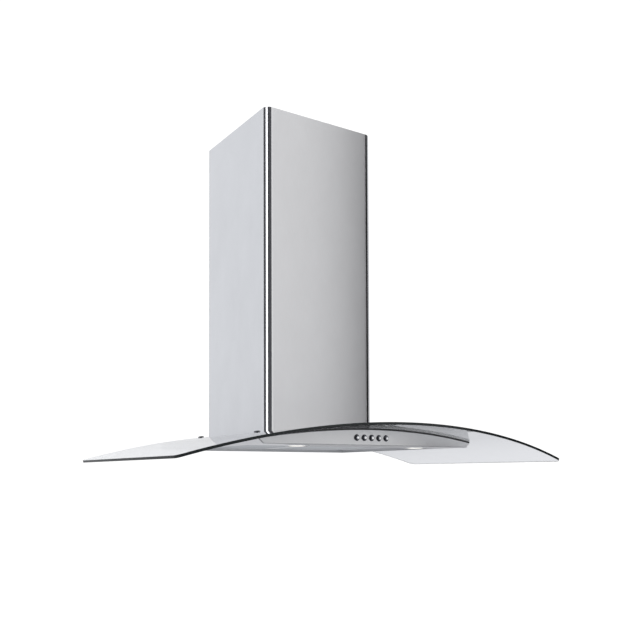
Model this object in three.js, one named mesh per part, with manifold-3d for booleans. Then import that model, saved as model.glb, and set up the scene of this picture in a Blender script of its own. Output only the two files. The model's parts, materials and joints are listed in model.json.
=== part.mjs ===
// Island range hood: curved glass canopy, steel body and a telescopic chimney hung from the ceiling.
// Millimetres. The origin is the centre of the ceiling plate's top face, +Z is up, the controls face -Y.
import * as THREE from "three";
import { mergeVertices } from "three/addons/utils/BufferGeometryUtils.js";
import Module from "manifold-3d";

const wasm = await Module();
wasm.setup();

// Driving dimensions
const glassWidth = 900;
const glassDrop = 64; // how far the ends hang below the crown
const glassThick = 5;
const glassFront = 443; // chimney axis to the middle of the front edge
const glassBow = 34; // how far the middle of the front edge leads its corners
const glassRear = 96.5; // chimney axis to the rear edge
const glassCorner = 14;
const glassSeat = 23; // how far the glass reaches in under the chimney cover

const chimneySide = 275;
const chimneyHeight = 680; // ceiling to the glass crown, with the chimney closed
const chimneyCorner = 16;
const chimneyTopGap = 1.5;
const rearReturn = 12; // folded edges of the rear covers
const upperCoverLength = 330;
const travel = 250; // height adjustment
const sheet = 1;
const coverGap = 0.7; // upper cover to the folded edges of the lower one

const bodyTopHalf = 258;
const bodyTaper = 10; // each side leans in by this much at the bottom
const bodySideHeight = 9.3;
const fasciaEnd = 322; // chimney axis to the ends of the fascia
const fasciaBow = 12;
const fasciaThick = 1.2;
const gasketThick = 3;
const gasketWidth = 9;
const rim = 12;
const recess = 6.5;
const lampStrip = 82; // level front part of the underside

const plateThick = 2.5;
const plateLip = 15;
const ductHoleSpare = 5.5;
const ceilingBoltReach = 108;
const ceilingBoltRadius = 4.5;
const angleLeg = 20;
const angleThick = 2;
const upperAngleLength = 340;
const lowerAngleTop = 50;
const boltRadius = 3;
const boltBelowTop = 12;
const boltHead = [5, 3]; // radius and height
const boltNut = [5.5, 4.5];
const boltTail = 6;

const ductRadius = 74.5;
const collarWall = 1.2;
const collarHeight = 50;
const collarFlange = 13;
const collarLedge = [3.5, 2]; // stop for the flaps: width and height
const flapHeight = 18; // flap hinge above the collar's foot
const flapThick = 1.2;
const flapClear = 0.6; // flap to its stop
const pinRadius = 2;
const pedestalGap = 3.5;
const pedestalRise = 1; // top of the blower's pedestal, below the glass crown
const inletRadius = 76;
const blowerMargin = 3;
const blowerWall = 1.5;
const baseHeight = 86;
const coverHeight = 44;
const motorRadius = 45;
const motorHeight = 36;
const bracketThick = 3;
const bracketDrop = 5; // bracket below the joint of the two housings
const bracketArm = 8;
const shaftRadius = 4;
const impellerBlades = 18;
const impellerRunning = 7.5; // blade tips to the housing wall
const bladeDepth = 20;

const buttonCount = 5;
const buttonPitch = 17.6;
const buttonShift = -14; // middle of the row from the middle of the fascia
const buttonRadius = 4.2;
const bezelRadius = 5.6;
const bezelProud = 0.8;
const buttonProud = 3.7;
const buttonTravel = 2.5;
const buttonHeight = 14.3; // button axis above the underside
const switchDepth = 18;
const switchHalfHeight = 7;
const switchSetBack = 1; // behind the body's front wall
const boreDepth = 9;

const lampReach = 147;
const lampSetBack = 8; // behind the middle of the lamp strip
const lampRadius = 24;
const lampHeight = 14;
const lensRadius = 17;
const flangeThick = 1.2;
const lampNeck = 3; // how much slimmer the housing is above its flange

const filterThick = 6;
const filterRail = 12;
const filterFrontRail = 20;
const filterBar = 12; // between the two filters
const filterLedge = 22;
const filterRearLedge = 25;
const filterFrontLedge = 5;
const filterClear = 0.8;
const hingeClear = 2.2;
const latchTravel = 5;
const tongueHalf = 10;
const tongueThick = 3;
const tongueReach = 4; // past the filter's front edge

const screwReach = 190;
const screwFront = 195;
const screwRear = 66;
const screwHead = 6.5;
const screwRadius = 2.5;
const screwClear = 1.84; // tip to the filter below

const seatGap = 0.3; // between pieces that rest on each other
const runGap = 0.5; // between pieces that slide
const arcSteps = 24;

// Derived places
const crownZ = -chimneyHeight;
const glassRadius = ((glassWidth / 2) ** 2 + glassDrop ** 2) / (2 * glassDrop);
const arcCentreZ = crownZ - glassRadius;
const bodyRadius = glassRadius - glassThick - gasketThick - 2 * seatGap;
const arcZ = (radius, x) => arcCentreZ + Math.sqrt(radius ** 2 - x ** 2);
const bodyBottomZ = arcZ(bodyRadius, bodyTopHalf) - bodySideHeight;
const bodyBottomHalf = bodyTopHalf - bodyTaper;
const chimneyHalf = chimneySide / 2;
const notchHalf = chimneyHalf - glassSeat;
const pedestalHalf = notchHalf - pedestalGap;
const pedestalZ = crownZ - pedestalRise;
const fasciaFront = fasciaEnd + fasciaBow;
const wallInset = fasciaThick + seatGap; // fascia's face to the body's front wall
const recessHalf = bodyBottomHalf - rim;
const recessFrontY = lampStrip - fasciaEnd;
const recessRearY = chimneyHalf - rim;
const traySeatZ = bodyBottomZ + sheet + seatGap;
const trayZ = bodyBottomZ + recess;
const innerCoverHalf = chimneyHalf - 2 * sheet - seatGap - coverGap;
const innerCoverCorner = chimneyCorner - (chimneyHalf - innerCoverHalf);
const plateHalf = innerCoverHalf - 2 * sheet - 2 * seatGap;
const lowerBoltZ = -lowerAngleTop - boltBelowTop;
const blowerRadius = pedestalHalf - blowerMargin;
const blowerZ = pedestalZ + seatGap;
const coverZ = blowerZ + baseHeight + seatGap;
const collarZ = coverZ + coverHeight + seatGap;
const flapZ = collarZ + flapHeight;
const collarInner = ductRadius - collarWall;
const bracketZ = blowerZ + baseHeight - bracketDrop;
const motorZ = bracketZ + bracketThick + seatGap;
const buttonZ = bodyBottomZ + buttonHeight;
const switchFaceY = -fasciaFront + wallInset + sheet + switchSetBack;
const lampY = recessFrontY - lampStrip / 2 + lampSetBack;
const filterTopZ = trayZ + filterThick;
const screwLean = Math.asin(screwReach / glassRadius);
const screwTipRise = filterTopZ + screwClear + screwRadius * Math.sin(screwLean) - arcCentreZ;
const screwLength = glassRadius - screwTipRise / Math.cos(screwLean);

// Materials
const finishes = {
  steel: [0xc4c6c9, 0.32, 1],
  zinc: [0xa9adb0, 0.5, 1],
  polished: [0xdfe1e4, 0.12, 1],
  aluminium: [0xb9bcbe, 0.4, 1],
  glass: [0xcfdcdc, 0.05, 0],
  rubber: [0x1d1e20, 0.7, 0],
  plastic: [0x242527, 0.45, 0],
  lens: [0xf6f4ec, 0.3, 0],
  grey: [0x6f7377, 0.55, 0],
  wire: [0x2b2b2e, 0.6, 0],
};
const materialOf = (name) => {
  const [color, roughness, metalness] = finishes[name];
  return new THREE.MeshStandardMaterial({ name, color, roughness, metalness });
};

const hood = new THREE.Group();
const add = (name, finish, geometry) => {
  const mesh = new THREE.Mesh(geometry, materialOf(finish));
  mesh.name = name;
  hood.add(mesh);
};

// Solids: three.js geometry joined and cut by manifold-3d
function solidOf(geometry) {
  const bare = new THREE.BufferGeometry();
  bare.setAttribute("position", geometry.getAttribute("position"));
  if (geometry.index) bare.setIndex(geometry.index);
  const merged = mergeVertices(bare, 1e-4);
  const index = merged.index.array;
  const kept = [];
  for (let i = 0; i < index.length; i += 3) {
    const [a, b, c] = [index[i], index[i + 1], index[i + 2]];
    if (a !== b && b !== c && c !== a) kept.push(a, b, c);
  }
  const vertProperties = merged.attributes.position.array;
  const triVerts = new Uint32Array(kept);
  return new wasm.Manifold(new wasm.Mesh({ numProp: 3, vertProperties, triVerts }));
}

function geometryOf(solid) {
  const { vertProperties, triVerts } = solid.getMesh();
  const geometry = new THREE.BufferGeometry();
  geometry.setAttribute("position", new THREE.BufferAttribute(vertProperties, 3));
  geometry.setIndex(new THREE.BufferAttribute(triVerts, 1));
  geometry.computeVertexNormals();
  return geometry;
}

const join = (...solids) => solids.reduce((a, b) => a.add(b));
const cut = (solid, ...tools) => tools.reduce((a, b) => a.subtract(b), solid);

function block(x0, x1, y0, y1, z0, z1) {
  const box = new THREE.BoxGeometry(x1 - x0, y1 - y0, z1 - z0);
  return solidOf(box.translate((x0 + x1) / 2, (y0 + y1) / 2, (z0 + z1) / 2));
}

// An outline in X and Y, raised along Z.
function prism(shape, z0, z1, curveSegments = 4) {
  const options = { depth: z1 - z0, bevelEnabled: false, curveSegments };
  return solidOf(new THREE.ExtrudeGeometry(shape, options).translate(0, 0, z0));
}

// An outline in X and Z, run along Y.
function run(shape, y0, y1) {
  const options = { depth: y1 - y0, bevelEnabled: false };
  const geometry = new THREE.ExtrudeGeometry(shape, options);
  return solidOf(geometry.rotateX(Math.PI / 2).translate(0, y1, 0));
}

// A closed [radius, height] profile turned round Z.
function turned(profile, segments = 32) {
  const points = [...profile, profile[0]].map(([r, z]) => new THREE.Vector2(r, z));
  return solidOf(new THREE.LatheGeometry(points, segments).rotateX(Math.PI / 2));
}

// The same, with the profile's height running towards the front, about a centre.
function turnedForward(profile, x, y, z, segments = 20) {
  const points = [...profile, profile[0]].map(([r, h]) => new THREE.Vector2(r, h));
  const geometry = new THREE.LatheGeometry(points, segments).rotateX(Math.PI);
  return solidOf(geometry.translate(x, y, z));
}

const drum = (radius, z0, z1, segments = 32) =>
  turned([[0, z0], [radius, z0], [radius, z1], [0, z1]], segments);

function rod(axis, radius, x, y, z, from, to, segments = 16) {
  const geometry = new THREE.CylinderGeometry(radius, radius, to - from, segments);
  geometry.translate(0, (from + to) / 2, 0);
  if (axis === "x") geometry.rotateZ(-Math.PI / 2);
  if (axis === "z") geometry.rotateX(Math.PI / 2);
  return solidOf(geometry.translate(x, y, z));
}

const outline = (points) => new THREE.Shape(points.map(([x, y]) => new THREE.Vector2(x, y)));

function arcPoints(radius, half) {
  const reach = Math.asin(half / radius);
  return Array.from({ length: arcSteps + 1 }, (_, i) => {
    const angle = reach - (2 * reach * i) / arcSteps;
    return [radius * Math.sin(angle), arcCentreZ + radius * Math.cos(angle)];
  });
}

// Everything from a low level up to an arc of the canopy.
const underArc = (radius, half, lowZ) =>
  outline([[-half, lowZ], [half, lowZ], ...arcPoints(radius, half)]);

// Front edge bowed forwards: points from +half to -half.
function bowPoints(half, frontY, bow, steps = 12) {
  const radius = (half ** 2 + bow ** 2) / (2 * bow);
  return Array.from({ length: steps + 1 }, (_, i) => {
    const x = half - (2 * half * i) / steps;
    return [x, frontY + radius - Math.sqrt(radius ** 2 - x ** 2)];
  });
}

function roundedSquare(half, corner) {
  const centre = half - corner;
  const shape = new THREE.Shape();
  for (let i = 0; i < 4; i++) {
    const start = (i * Math.PI) / 2;
    const x = centre * Math.SQRT2 * Math.cos(start + Math.PI / 4);
    const y = centre * Math.SQRT2 * Math.sin(start + Math.PI / 4);
    shape.absarc(x, y, corner, start, start + Math.PI / 2, false);
  }
  return shape;
}

// A sheet bent into a U that is open to the rear, with rounded front corners.
function bentSheet(half, rearY, corner) {
  const inner = half - sheet;
  const centre = half - corner;
  const shape = new THREE.Shape();
  shape.moveTo(half, rearY);
  shape.lineTo(half, -centre);
  shape.absarc(centre, -centre, corner, 0, -Math.PI / 2, true);
  shape.lineTo(-centre, -half);
  shape.absarc(-centre, -centre, corner, -Math.PI / 2, -Math.PI, true);
  shape.lineTo(-half, rearY);
  shape.lineTo(-inner, rearY);
  shape.lineTo(-inner, -centre);
  shape.absarc(-centre, -centre, corner - sheet, -Math.PI, -Math.PI / 2, false);
  shape.lineTo(centre, -inner);
  shape.absarc(centre, -centre, corner - sheet, -Math.PI / 2, 0, false);
  shape.lineTo(inner, rearY);
  return shape;
}

// The flat rear cover, with a folded return just inside each leg of the U.
function rearSheet(half) {
  const inner = half - sheet;
  const fold = inner - seatGap;
  const side = (s) => [[s * half, half], [s * half, inner], [s * fold, inner],
    [s * fold, half - rearReturn], [s * (fold - sheet), half - rearReturn], [s * (fold - sheet), inner]];
  return outline([...side(1), ...side(-1).reverse()]);
}

function ceilingPlate() {
  const lipThick = 1.5;
  const plateCorner = innerCoverCorner - (innerCoverHalf - plateHalf);
  const inside = plateHalf - lipThick;
  const holes = [0, 1, 2, 3].map((i) => {
    const [x, y] = [Math.cos((i * Math.PI) / 2), Math.sin((i * Math.PI) / 2)];
    const [boltX, boltY] = [ceilingBoltReach * x, ceilingBoltReach * y];
    return rod("z", ceilingBoltRadius, boltX, boltY, 0, -plateThick - 1, 1);
  });
  const shell = cut(
    prism(roundedSquare(plateHalf, plateCorner), -plateLip, 0),
    prism(roundedSquare(inside, plateCorner - lipThick), -plateLip - 1, -plateThick),
    drum(ductRadius + ductHoleSpare, -plateThick - 1, 1),
  );
  add("ceiling_plate", "zinc", geometryOf(cut(shell, ...holes)));
}

function angleBar(sx, sy, half, z0, z1) {
  const [near, leg] = [half - angleThick, half - angleLeg];
  const points = [[half, half], [leg, half], [leg, near], [near, near], [near, leg], [half, leg]];
  return prism(outline(points.map(([x, y]) => [sx * x, sy * y])), z0, z1);
}

const corners = [["front_left", -1, -1], ["front_right", 1, -1],
  ["rear_left", -1, 1], ["rear_right", 1, 1]];

function frame() {
  const upperHalf = pedestalHalf + runGap + angleThick;
  const boltLine = pedestalHalf - angleLeg / 2;
  const slotSpare = 1.5;
  for (const [corner, sx, sy] of corners) {
    const slotTop = lowerBoltZ + boltRadius + slotSpare;
    const slotBottom = lowerBoltZ - travel - boltRadius - slotSpare;
    const slotHalf = boltRadius + runGap;
    const side = sy * boltLine;
    const across = (s, a, b) => (s > 0 ? [a, b] : [-b, -a]);
    const [legNear, legFar] = across(sx, pedestalHalf - 5, upperHalf + 5);
    const slot = block(legNear, legFar, side - slotHalf, side + slotHalf, slotBottom, slotTop);
    const upperTop = -plateThick - seatGap;
    const upper = angleBar(sx, sy, upperHalf, upperTop - upperAngleLength, upperTop);
    add("upper_angle_" + corner, "zinc", geometryOf(cut(upper, slot)));

    const hole = rod("x", boltRadius + seatGap, 0, side, lowerBoltZ, legNear, legFar);
    const lower = angleBar(sx, sy, pedestalHalf, pedestalZ + seatGap, -lowerAngleTop);
    add("lower_angle_" + corner, "zinc", geometryOf(cut(lower, hole)));

    const headTo = pedestalHalf - angleThick - seatGap;
    const nutFrom = upperHalf + seatGap;
    const piece = (radius, from, to, segments) => {
      const [a, b] = across(sx, from, to);
      return rod("x", radius, 0, side, lowerBoltZ, a, b, segments);
    };
    const bolt = join(
      piece(boltHead[0], headTo - boltHead[1], headTo, 6),
      piece(boltRadius, headTo - 1, nutFrom + boltTail, 12),
      piece(boltNut[0], nutFrom, nutFrom + boltNut[1], 6),
    );
    add("height_bolt_" + corner, "zinc", geometryOf(bolt));
  }
}

function covers() {
  const topZ = -chimneyTopGap;
  const upperRearY = innerCoverHalf - sheet - seatGap;
  const upperFront = bentSheet(innerCoverHalf, upperRearY, innerCoverCorner);
  add("upper_cover_front", "steel", geometryOf(prism(upperFront, topZ - upperCoverLength, topZ)));
  const upperRear = prism(rearSheet(innerCoverHalf), topZ - upperCoverLength, topZ);
  add("upper_cover_rear", "steel", geometryOf(upperRear));

  // The lower cover stands on the glass, and behind the glass on the body.
  const reach = chimneyHalf + 5;
  const lowZ = crownZ - glassDrop;
  const glassBelow = run(underArc(glassRadius + seatGap, reach, lowZ), -reach, glassRear + runGap);
  const bodyBelow = run(underArc(bodyRadius + seatGap, reach, lowZ), -reach, reach);
  const onGlass = (solid) => geometryOf(cut(solid, glassBelow, bodyBelow));
  const bottomZ = crownZ - glassDrop / 2;
  const legsY = chimneyHalf - sheet - seatGap;
  const lowerFront = bentSheet(chimneyHalf, legsY, chimneyCorner);
  add("chimney_front", "steel", onGlass(prism(lowerFront, bottomZ, topZ)));
  add("chimney_rear", "steel", onGlass(prism(rearSheet(chimneyHalf), bottomZ, topZ)));
}

// A piece made round Z at the origin, stood on an arc of the canopy at x and y.
function standOnArc(geometry, radius, x, y) {
  return geometry.translate(0, y, radius).rotateY(Math.asin(x / radius)).translate(0, 0, arcCentreZ);
}

const screwPlaces = [["front_left", -1, -screwFront], ["front_right", 1, -screwFront],
  ["rear_left", -1, screwRear], ["rear_right", 1, screwRear]];

function screwHoles(radius) {
  return screwPlaces.map(([, side, y]) => {
    const hole = new THREE.CylinderGeometry(radius, radius, 60, 16).rotateX(Math.PI / 2);
    return solidOf(standOnArc(hole, glassRadius, side * screwReach, y));
  });
}

function glassCanopy() {
  const half = glassWidth / 2;
  const front = bowPoints(half - glassCorner, -glassFront, glassBow);
  const cornerY = front[0][1];
  const shape = new THREE.Shape();
  shape.moveTo(-half + glassCorner, cornerY);
  front.reverse().forEach(([x, y]) => shape.lineTo(x, y));
  shape.absarc(half - glassCorner, cornerY + glassCorner, glassCorner, -Math.PI / 2, 0, false);
  shape.absarc(half - glassCorner, glassRear - glassCorner, glassCorner, 0, Math.PI / 2, false);
  shape.absarc(-half + glassCorner, glassRear - glassCorner, glassCorner, Math.PI / 2, Math.PI, false);
  shape.absarc(-half + glassCorner, cornerY + glassCorner, glassCorner, Math.PI, 1.5 * Math.PI, false);
  const lowZ = crownZ - 2 * glassDrop;
  const [frontY, rearY] = [-glassFront - 1, glassRear + 1];
  const upTo = (radius) => run(underArc(radius, half + 5, lowZ), frontY, rearY);
  const arc = cut(upTo(glassRadius), upTo(glassRadius - glassThick));
  const notch = block(-notchHalf, notchHalf, -notchHalf, rearY, lowZ, crownZ + 1);
  const plan = prism(shape, lowZ, crownZ + 1);
  const pane = cut(arc.intersect(plan), notch, ...screwHoles(screwRadius + runGap));
  add("glass_canopy", "glass", geometryOf(pane));
}

function glassScrews() {
  const [under, shoulder, top] = [seatGap, seatGap + 1.6, seatGap + 3];
  const profile = [[0, -screwLength], [screwRadius, -screwLength], [screwRadius, under],
    [screwHead, under], [screwHead, shoulder], [screwHead - 2, top], [0, top]];
  const points = [...profile, profile[0]].map(([r, z]) => new THREE.Vector2(r, z));
  for (const [place, side, y] of screwPlaces) {
    const screw = new THREE.LatheGeometry(points, 12).rotateX(Math.PI / 2);
    const stood = standOnArc(screw, glassRadius, side * screwReach, y);
    add("glass_screw_" + place, "polished", geometryOf(solidOf(stood)));
  }
}

// Section of the body across its width, inset from its outer faces.
function bodySection(inset) {
  const lean = 1.4 * inset;
  const radius = bodyRadius - inset;
  return outline([[-bodyBottomHalf + lean, bodyBottomZ + inset], [bodyBottomHalf - lean, bodyBottomZ + inset],
    ...arcPoints(radius, bodyTopHalf - lean)]);
}

// Plan of the body behind its bowed front, inset from its outer faces.
function bodyPlan(inset, reach = bodyTopHalf + 5) {
  const front = bowPoints(reach, -fasciaFront + inset, (fasciaBow * reach ** 2) / bodyTopHalf ** 2);
  return outline([[reach, chimneyHalf], [-reach, chimneyHalf], ...front.reverse()]
    .map(([x, y], i) => (i < 2 ? [x, y - Math.max(0, inset - wallInset)] : [x, y])));
}

function bodySolid(inset) {
  const plan = prism(bodyPlan(wallInset + inset), bodyBottomZ - 1, crownZ);
  return run(bodySection(inset), -fasciaFront - 1, chimneyHalf + 1).intersect(plan);
}

const buttonXs = Array.from({ length: buttonCount },
  (_, i) => buttonShift + (i - (buttonCount - 1) / 2) * buttonPitch);
const switchHalf = (buttonCount * buttonPitch) / 2 + 4;
const [switchX0, switchX1] = [buttonShift - switchHalf, buttonShift + switchHalf];

function canopyBody() {
  const pedestal = (inset) => {
    const side = pedestalHalf - inset;
    return block(-side, side, -side, side, bodyBottomZ + rim, pedestalZ - inset);
  };
  const opening = block(-recessHalf, recessHalf, recessFrontY, recessRearY,
    bodyBottomZ - 1, bodyBottomZ + 2);
  const window = block(switchX0, switchX1, -fasciaFront, switchFaceY,
    buttonZ - switchHalfHeight, buttonZ + switchHalfHeight);
  const lampHole = lampRadius - lampNeck + runGap;
  const lampHoles = [-1, 1].map((side) =>
    rod("z", lampHole, side * lampReach, lampY, bodyBottomZ, -1, 3, 28));
  const shell = cut(join(bodySolid(0), pedestal(0)), join(bodySolid(sheet), pedestal(sheet)));
  const inlet = drum(inletRadius + 2, pedestalZ - 5, pedestalZ + 1);
  const body = cut(shell, inlet, opening, window, ...lampHoles, ...screwHoles(screwRadius + runGap));
  add("canopy_body", "steel", geometryOf(body));
}

function fascia() {
  const outer = prism(bodyPlan(0), bodyBottomZ - 1, crownZ);
  const inner = prism(bodyPlan(fasciaThick), bodyBottomZ - 2, crownZ + 1);
  const side = bodyTopHalf + 6;
  const trim = block(-side, side, -fasciaEnd + wallInset, chimneyHalf + 1, bodyBottomZ - 2, crownZ + 1);
  const band = run(bodySection(0), -fasciaFront - 1, chimneyHalf);
  const holes = buttonXs.map((x) =>
    rod("y", bezelRadius + seatGap, x, 0, buttonZ, -fasciaFront - 2, -fasciaEnd, 20));
  add("front_fascia", "steel", geometryOf(cut(band.intersect(outer), inner, trim, ...holes)));
}

function gasket() {
  const top = glassRadius - glassThick - seatGap;
  const upTo = (radius) => run(underArc(radius, bodyTopHalf, bodyBottomZ), -fasciaFront - 1, chimneyHalf + 1);
  const layer = cut(upTo(top), upTo(top - gasketThick));
  const inner = bodyTopHalf - gasketWidth;
  const outer = prism(bodyPlan(0), bodyBottomZ, crownZ);
  const ring = cut(outer, prism(bodyPlan(gasketWidth, inner), bodyBottomZ - 1, crownZ + 1));
  const behind = block(-bodyTopHalf, bodyTopHalf, glassRear - runGap, chimneyHalf + 1,
    bodyBottomZ, crownZ);
  add("glass_gasket", "rubber", geometryOf(cut(layer.intersect(ring), behind)));
}

function switches() {
  const faceY = -fasciaFront - bezelProud;
  const boreEnd = switchFaceY + boreDepth;
  const bezels = buttonXs.map((x) => rod("y", bezelRadius, x, 0, buttonZ, faceY, switchFaceY + 1, 20));
  const bores = buttonXs.map((x) =>
    rod("y", buttonRadius + seatGap, x, 0, buttonZ, faceY - 1, boreEnd, 20));
  const [low, high] = [buttonZ - switchHalfHeight + seatGap, buttonZ + switchHalfHeight - seatGap];
  const housing = block(switchX0 + seatGap, switchX1 - seatGap,
    switchFaceY, switchFaceY + switchDepth, low, high);
  add("switch_block", "plastic", geometryOf(cut(join(housing, ...bezels), ...bores)));

  const endClear = 1.5;
  const reach = boreEnd - endClear - buttonTravel - faceY;
  buttonXs.forEach((x, i) => {
    const profile = [[0, -reach], [buttonRadius, -reach], [buttonRadius, buttonProud - 1],
      [buttonRadius - 0.7, buttonProud - 0.3], [0, buttonProud]];
    add("button_" + (i + 1), "polished", geometryOf(turnedForward(profile, x, faceY, buttonZ)));
  });
}

function lamps() {
  const z = bodyBottomZ - seatGap;
  const neck = lampRadius - lampNeck;
  const [lensTop, ledge, wall] = [3, 3, 2];
  const cup = [[lensRadius + seatGap, -flangeThick], [lampRadius, -flangeThick], [lampRadius, 0],
    [neck, 0], [neck, lampHeight], [0, lampHeight], [0, lampHeight - wall],
    [lensRadius - ledge, lampHeight - wall], [lensRadius - ledge, lensTop],
    [lensRadius + seatGap, lensTop]];
  const lens = [[0, -flangeThick - 0.8], [lensRadius * 0.6, -flangeThick - 0.5],
    [lensRadius, -flangeThick + 0.4], [lensRadius, lensTop - 0.4], [0, lensTop - 0.4]];
  for (const [side, sx] of [["left", -1], ["right", 1]]) {
    const placed = (profile) => geometryOf(turned(profile, 28)).translate(sx * lampReach, lampY, z);
    add("lamp_housing_" + side, "polished", placed(cup));
    add("lamp_lens_" + side, "lens", placed(lens));
  }
}

// Inner edges of the tray's filter openings, on the right-hand side.
const filterX0 = filterBar / 2;
const filterX1 = recessHalf - filterLedge;
const filterY0 = recessFrontY + filterFrontLedge;
const filterY1 = recessRearY - filterRearLedge;

function filterTray() {
  const outer = block(-recessHalf - sheet, recessHalf + sheet, recessFrontY - sheet, recessRearY + sheet,
    traySeatZ, trayZ + sheet);
  const inner = block(-recessHalf, recessHalf, recessFrontY, recessRearY, traySeatZ - 1, trayZ);
  const holes = [-1, 1].flatMap((side) => {
    const [x0, x1] = side > 0 ? [filterX0, filterX1] : [-filterX1, -filterX0];
    const middle = (x0 + x1) / 2;
    const notch = tongueHalf + runGap;
    return [
      block(x0, x1, filterY0, filterY1, trayZ - 1, trayZ + 2),
      block(middle - notch, middle + notch, filterY0 - tongueReach - seatGap, filterY0 + 1,
        trayZ - 1, trayZ + 2),
    ];
  });
  add("filter_tray", "steel", geometryOf(cut(outer, inner, ...holes)));
}

function filters() {
  for (const [side, sx] of [["left", -1], ["right", 1]]) {
    const [a, b] = [filterX0 + filterClear, filterX1 - filterClear];
    const [x0, x1] = sx > 0 ? [a, b] : [-b, -a];
    const [y0, y1] = [filterY0 + filterClear, filterY1 - hingeClear];
    const middle = (x0 + x1) / 2;
    const topZ = filterTopZ;
    const [meshX0, meshX1] = [x0 + filterRail, x1 - filterRail];
    const [meshY0, meshY1] = [y0 + filterFrontRail, y1 - filterRail];
    const tongueZ = trayZ + sheet + 0.4;
    const tongueTail = 11.5;
    const slot = tongueHalf + runGap;
    const [neck, neckY, neckEnd] = [6, y0 + 4, y0 + 8];
    const frameSolid = cut(
      block(x0, x1, y0, y1, trayZ, topZ),
      block(meshX0, meshX1, meshY0, meshY1, trayZ - 1, topZ + 1),
      block(middle - slot, middle + slot, y0 - 1, y0 + tongueTail + latchTravel + 2 * runGap,
        tongueZ - runGap, topZ + 1),
      block(middle - neck - runGap, middle + neck + runGap, neckY - runGap,
        neckEnd + latchTravel + runGap, trayZ - 1, topZ),
    );
    add("filter_frame_" + side, "aluminium", geometryOf(frameSolid));
    const mesh = block(meshX0 + seatGap, meshX1 - seatGap, meshY0 + seatGap, meshY1 - seatGap,
      trayZ + seatGap, topZ - 1);
    add("filter_mesh_" + side, "aluminium", geometryOf(mesh));
    const [pullHalf, pullThick] = [16, 2];
    const latch = join(
      block(middle - tongueHalf, middle + tongueHalf, y0 - tongueReach, y0 + tongueTail,
        tongueZ, tongueZ + tongueThick),
      block(middle - neck, middle + neck, neckY, neckEnd, trayZ - 1, tongueZ + 1),
      block(middle - pullHalf, middle + pullHalf, y0 + 1, y0 + 12,
        trayZ - seatGap - pullThick, trayZ - seatGap),
    );
    add("filter_latch_" + side, "plastic", geometryOf(latch));
  }
}

function leadHole() {
  const hole = rod("x", 4, 0, 0, motorZ + motorHeight - 8, -blowerRadius - 5, -blowerRadius + 12);
  return hole.rotate([0, 0, 45]);
}

function blower() {
  const wallRadius = blowerRadius - 2;
  const inner = wallRadius - blowerWall;
  const base = [[inletRadius - 1.5, 0], [blowerRadius, 0], [blowerRadius, 2], [wallRadius, 2],
    [wallRadius, baseHeight], [inner, baseHeight], [inner, 2], [inletRadius + 4, 2], [inletRadius, 6],
    [inletRadius - 1.5, 6]];
  add("blower_base", "grey", geometryOf(turned(base)).translate(0, 0, blowerZ));
  const cover = [[inner, 0], [wallRadius, 0], [wallRadius, coverHeight], [collarInner, coverHeight],
    [collarInner, coverHeight - blowerWall], [inner, coverHeight - blowerWall]];
  const coverShell = turned(cover).translate([0, 0, coverZ]);
  add("blower_cover", "grey", geometryOf(cut(coverShell, leadHole())));

  const eye = shaftRadius + 4;
  const hub = turned([[eye, 0], [motorRadius, 0], [motorRadius, bracketThick], [eye, bracketThick]]);
  const armReach = inner - seatGap - 1;
  const arms = join(
    block(-armReach, armReach, -bracketArm, bracketArm, 0, bracketThick),
    block(-bracketArm, bracketArm, -armReach, armReach, 0, bracketThick),
  );
  const bracket = cut(join(hub, arms), drum(eye, -1, bracketThick + 1));
  add("motor_bracket", "zinc", geometryOf(bracket.translate([0, 0, bracketZ])));

  const bore = shaftRadius + seatGap + 0.1;
  const shaftHole = motorHeight - 12;
  const motor = [[bore, 0], [motorRadius, 0], [motorRadius, motorHeight - 8],
    [motorRadius - 12, motorHeight], [0, motorHeight], [0, shaftHole], [bore, shaftHole]];
  add("motor", "grey", geometryOf(turned(motor)).translate(0, 0, motorZ));
  const shaftZ = blowerZ + 14;
  const shaft = drum(shaftRadius, shaftZ, motorZ + shaftHole - 1.5, 16);
  add("motor_shaft", "polished", geometryOf(shaft));

  const tip = inner - impellerRunning;
  const [lowZ, plateZ] = [blowerZ + 13, bracketZ - 8];
  const wheel = [[bore, lowZ + 25], [12, lowZ + 25], [12, plateZ], [tip, plateZ], [tip, plateZ + 2],
    [bore, plateZ + 2]];
  const ring = [[tip - 8, lowZ], [tip, lowZ], [tip, lowZ + 2.5], [tip - 8, lowZ + 2.5]];
  const blades = Array.from({ length: impellerBlades }, (_, i) => {
    const blade = block(tip - bladeDepth, tip - 1.5, -0.9, 0.9, lowZ + 1, plateZ + 1);
    return blade.rotate([0, 0, (360 * i) / impellerBlades]);
  });
  add("impeller", "plastic", geometryOf(join(turned(wheel, 24), turned(ring, 24), ...blades)));
}

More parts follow.
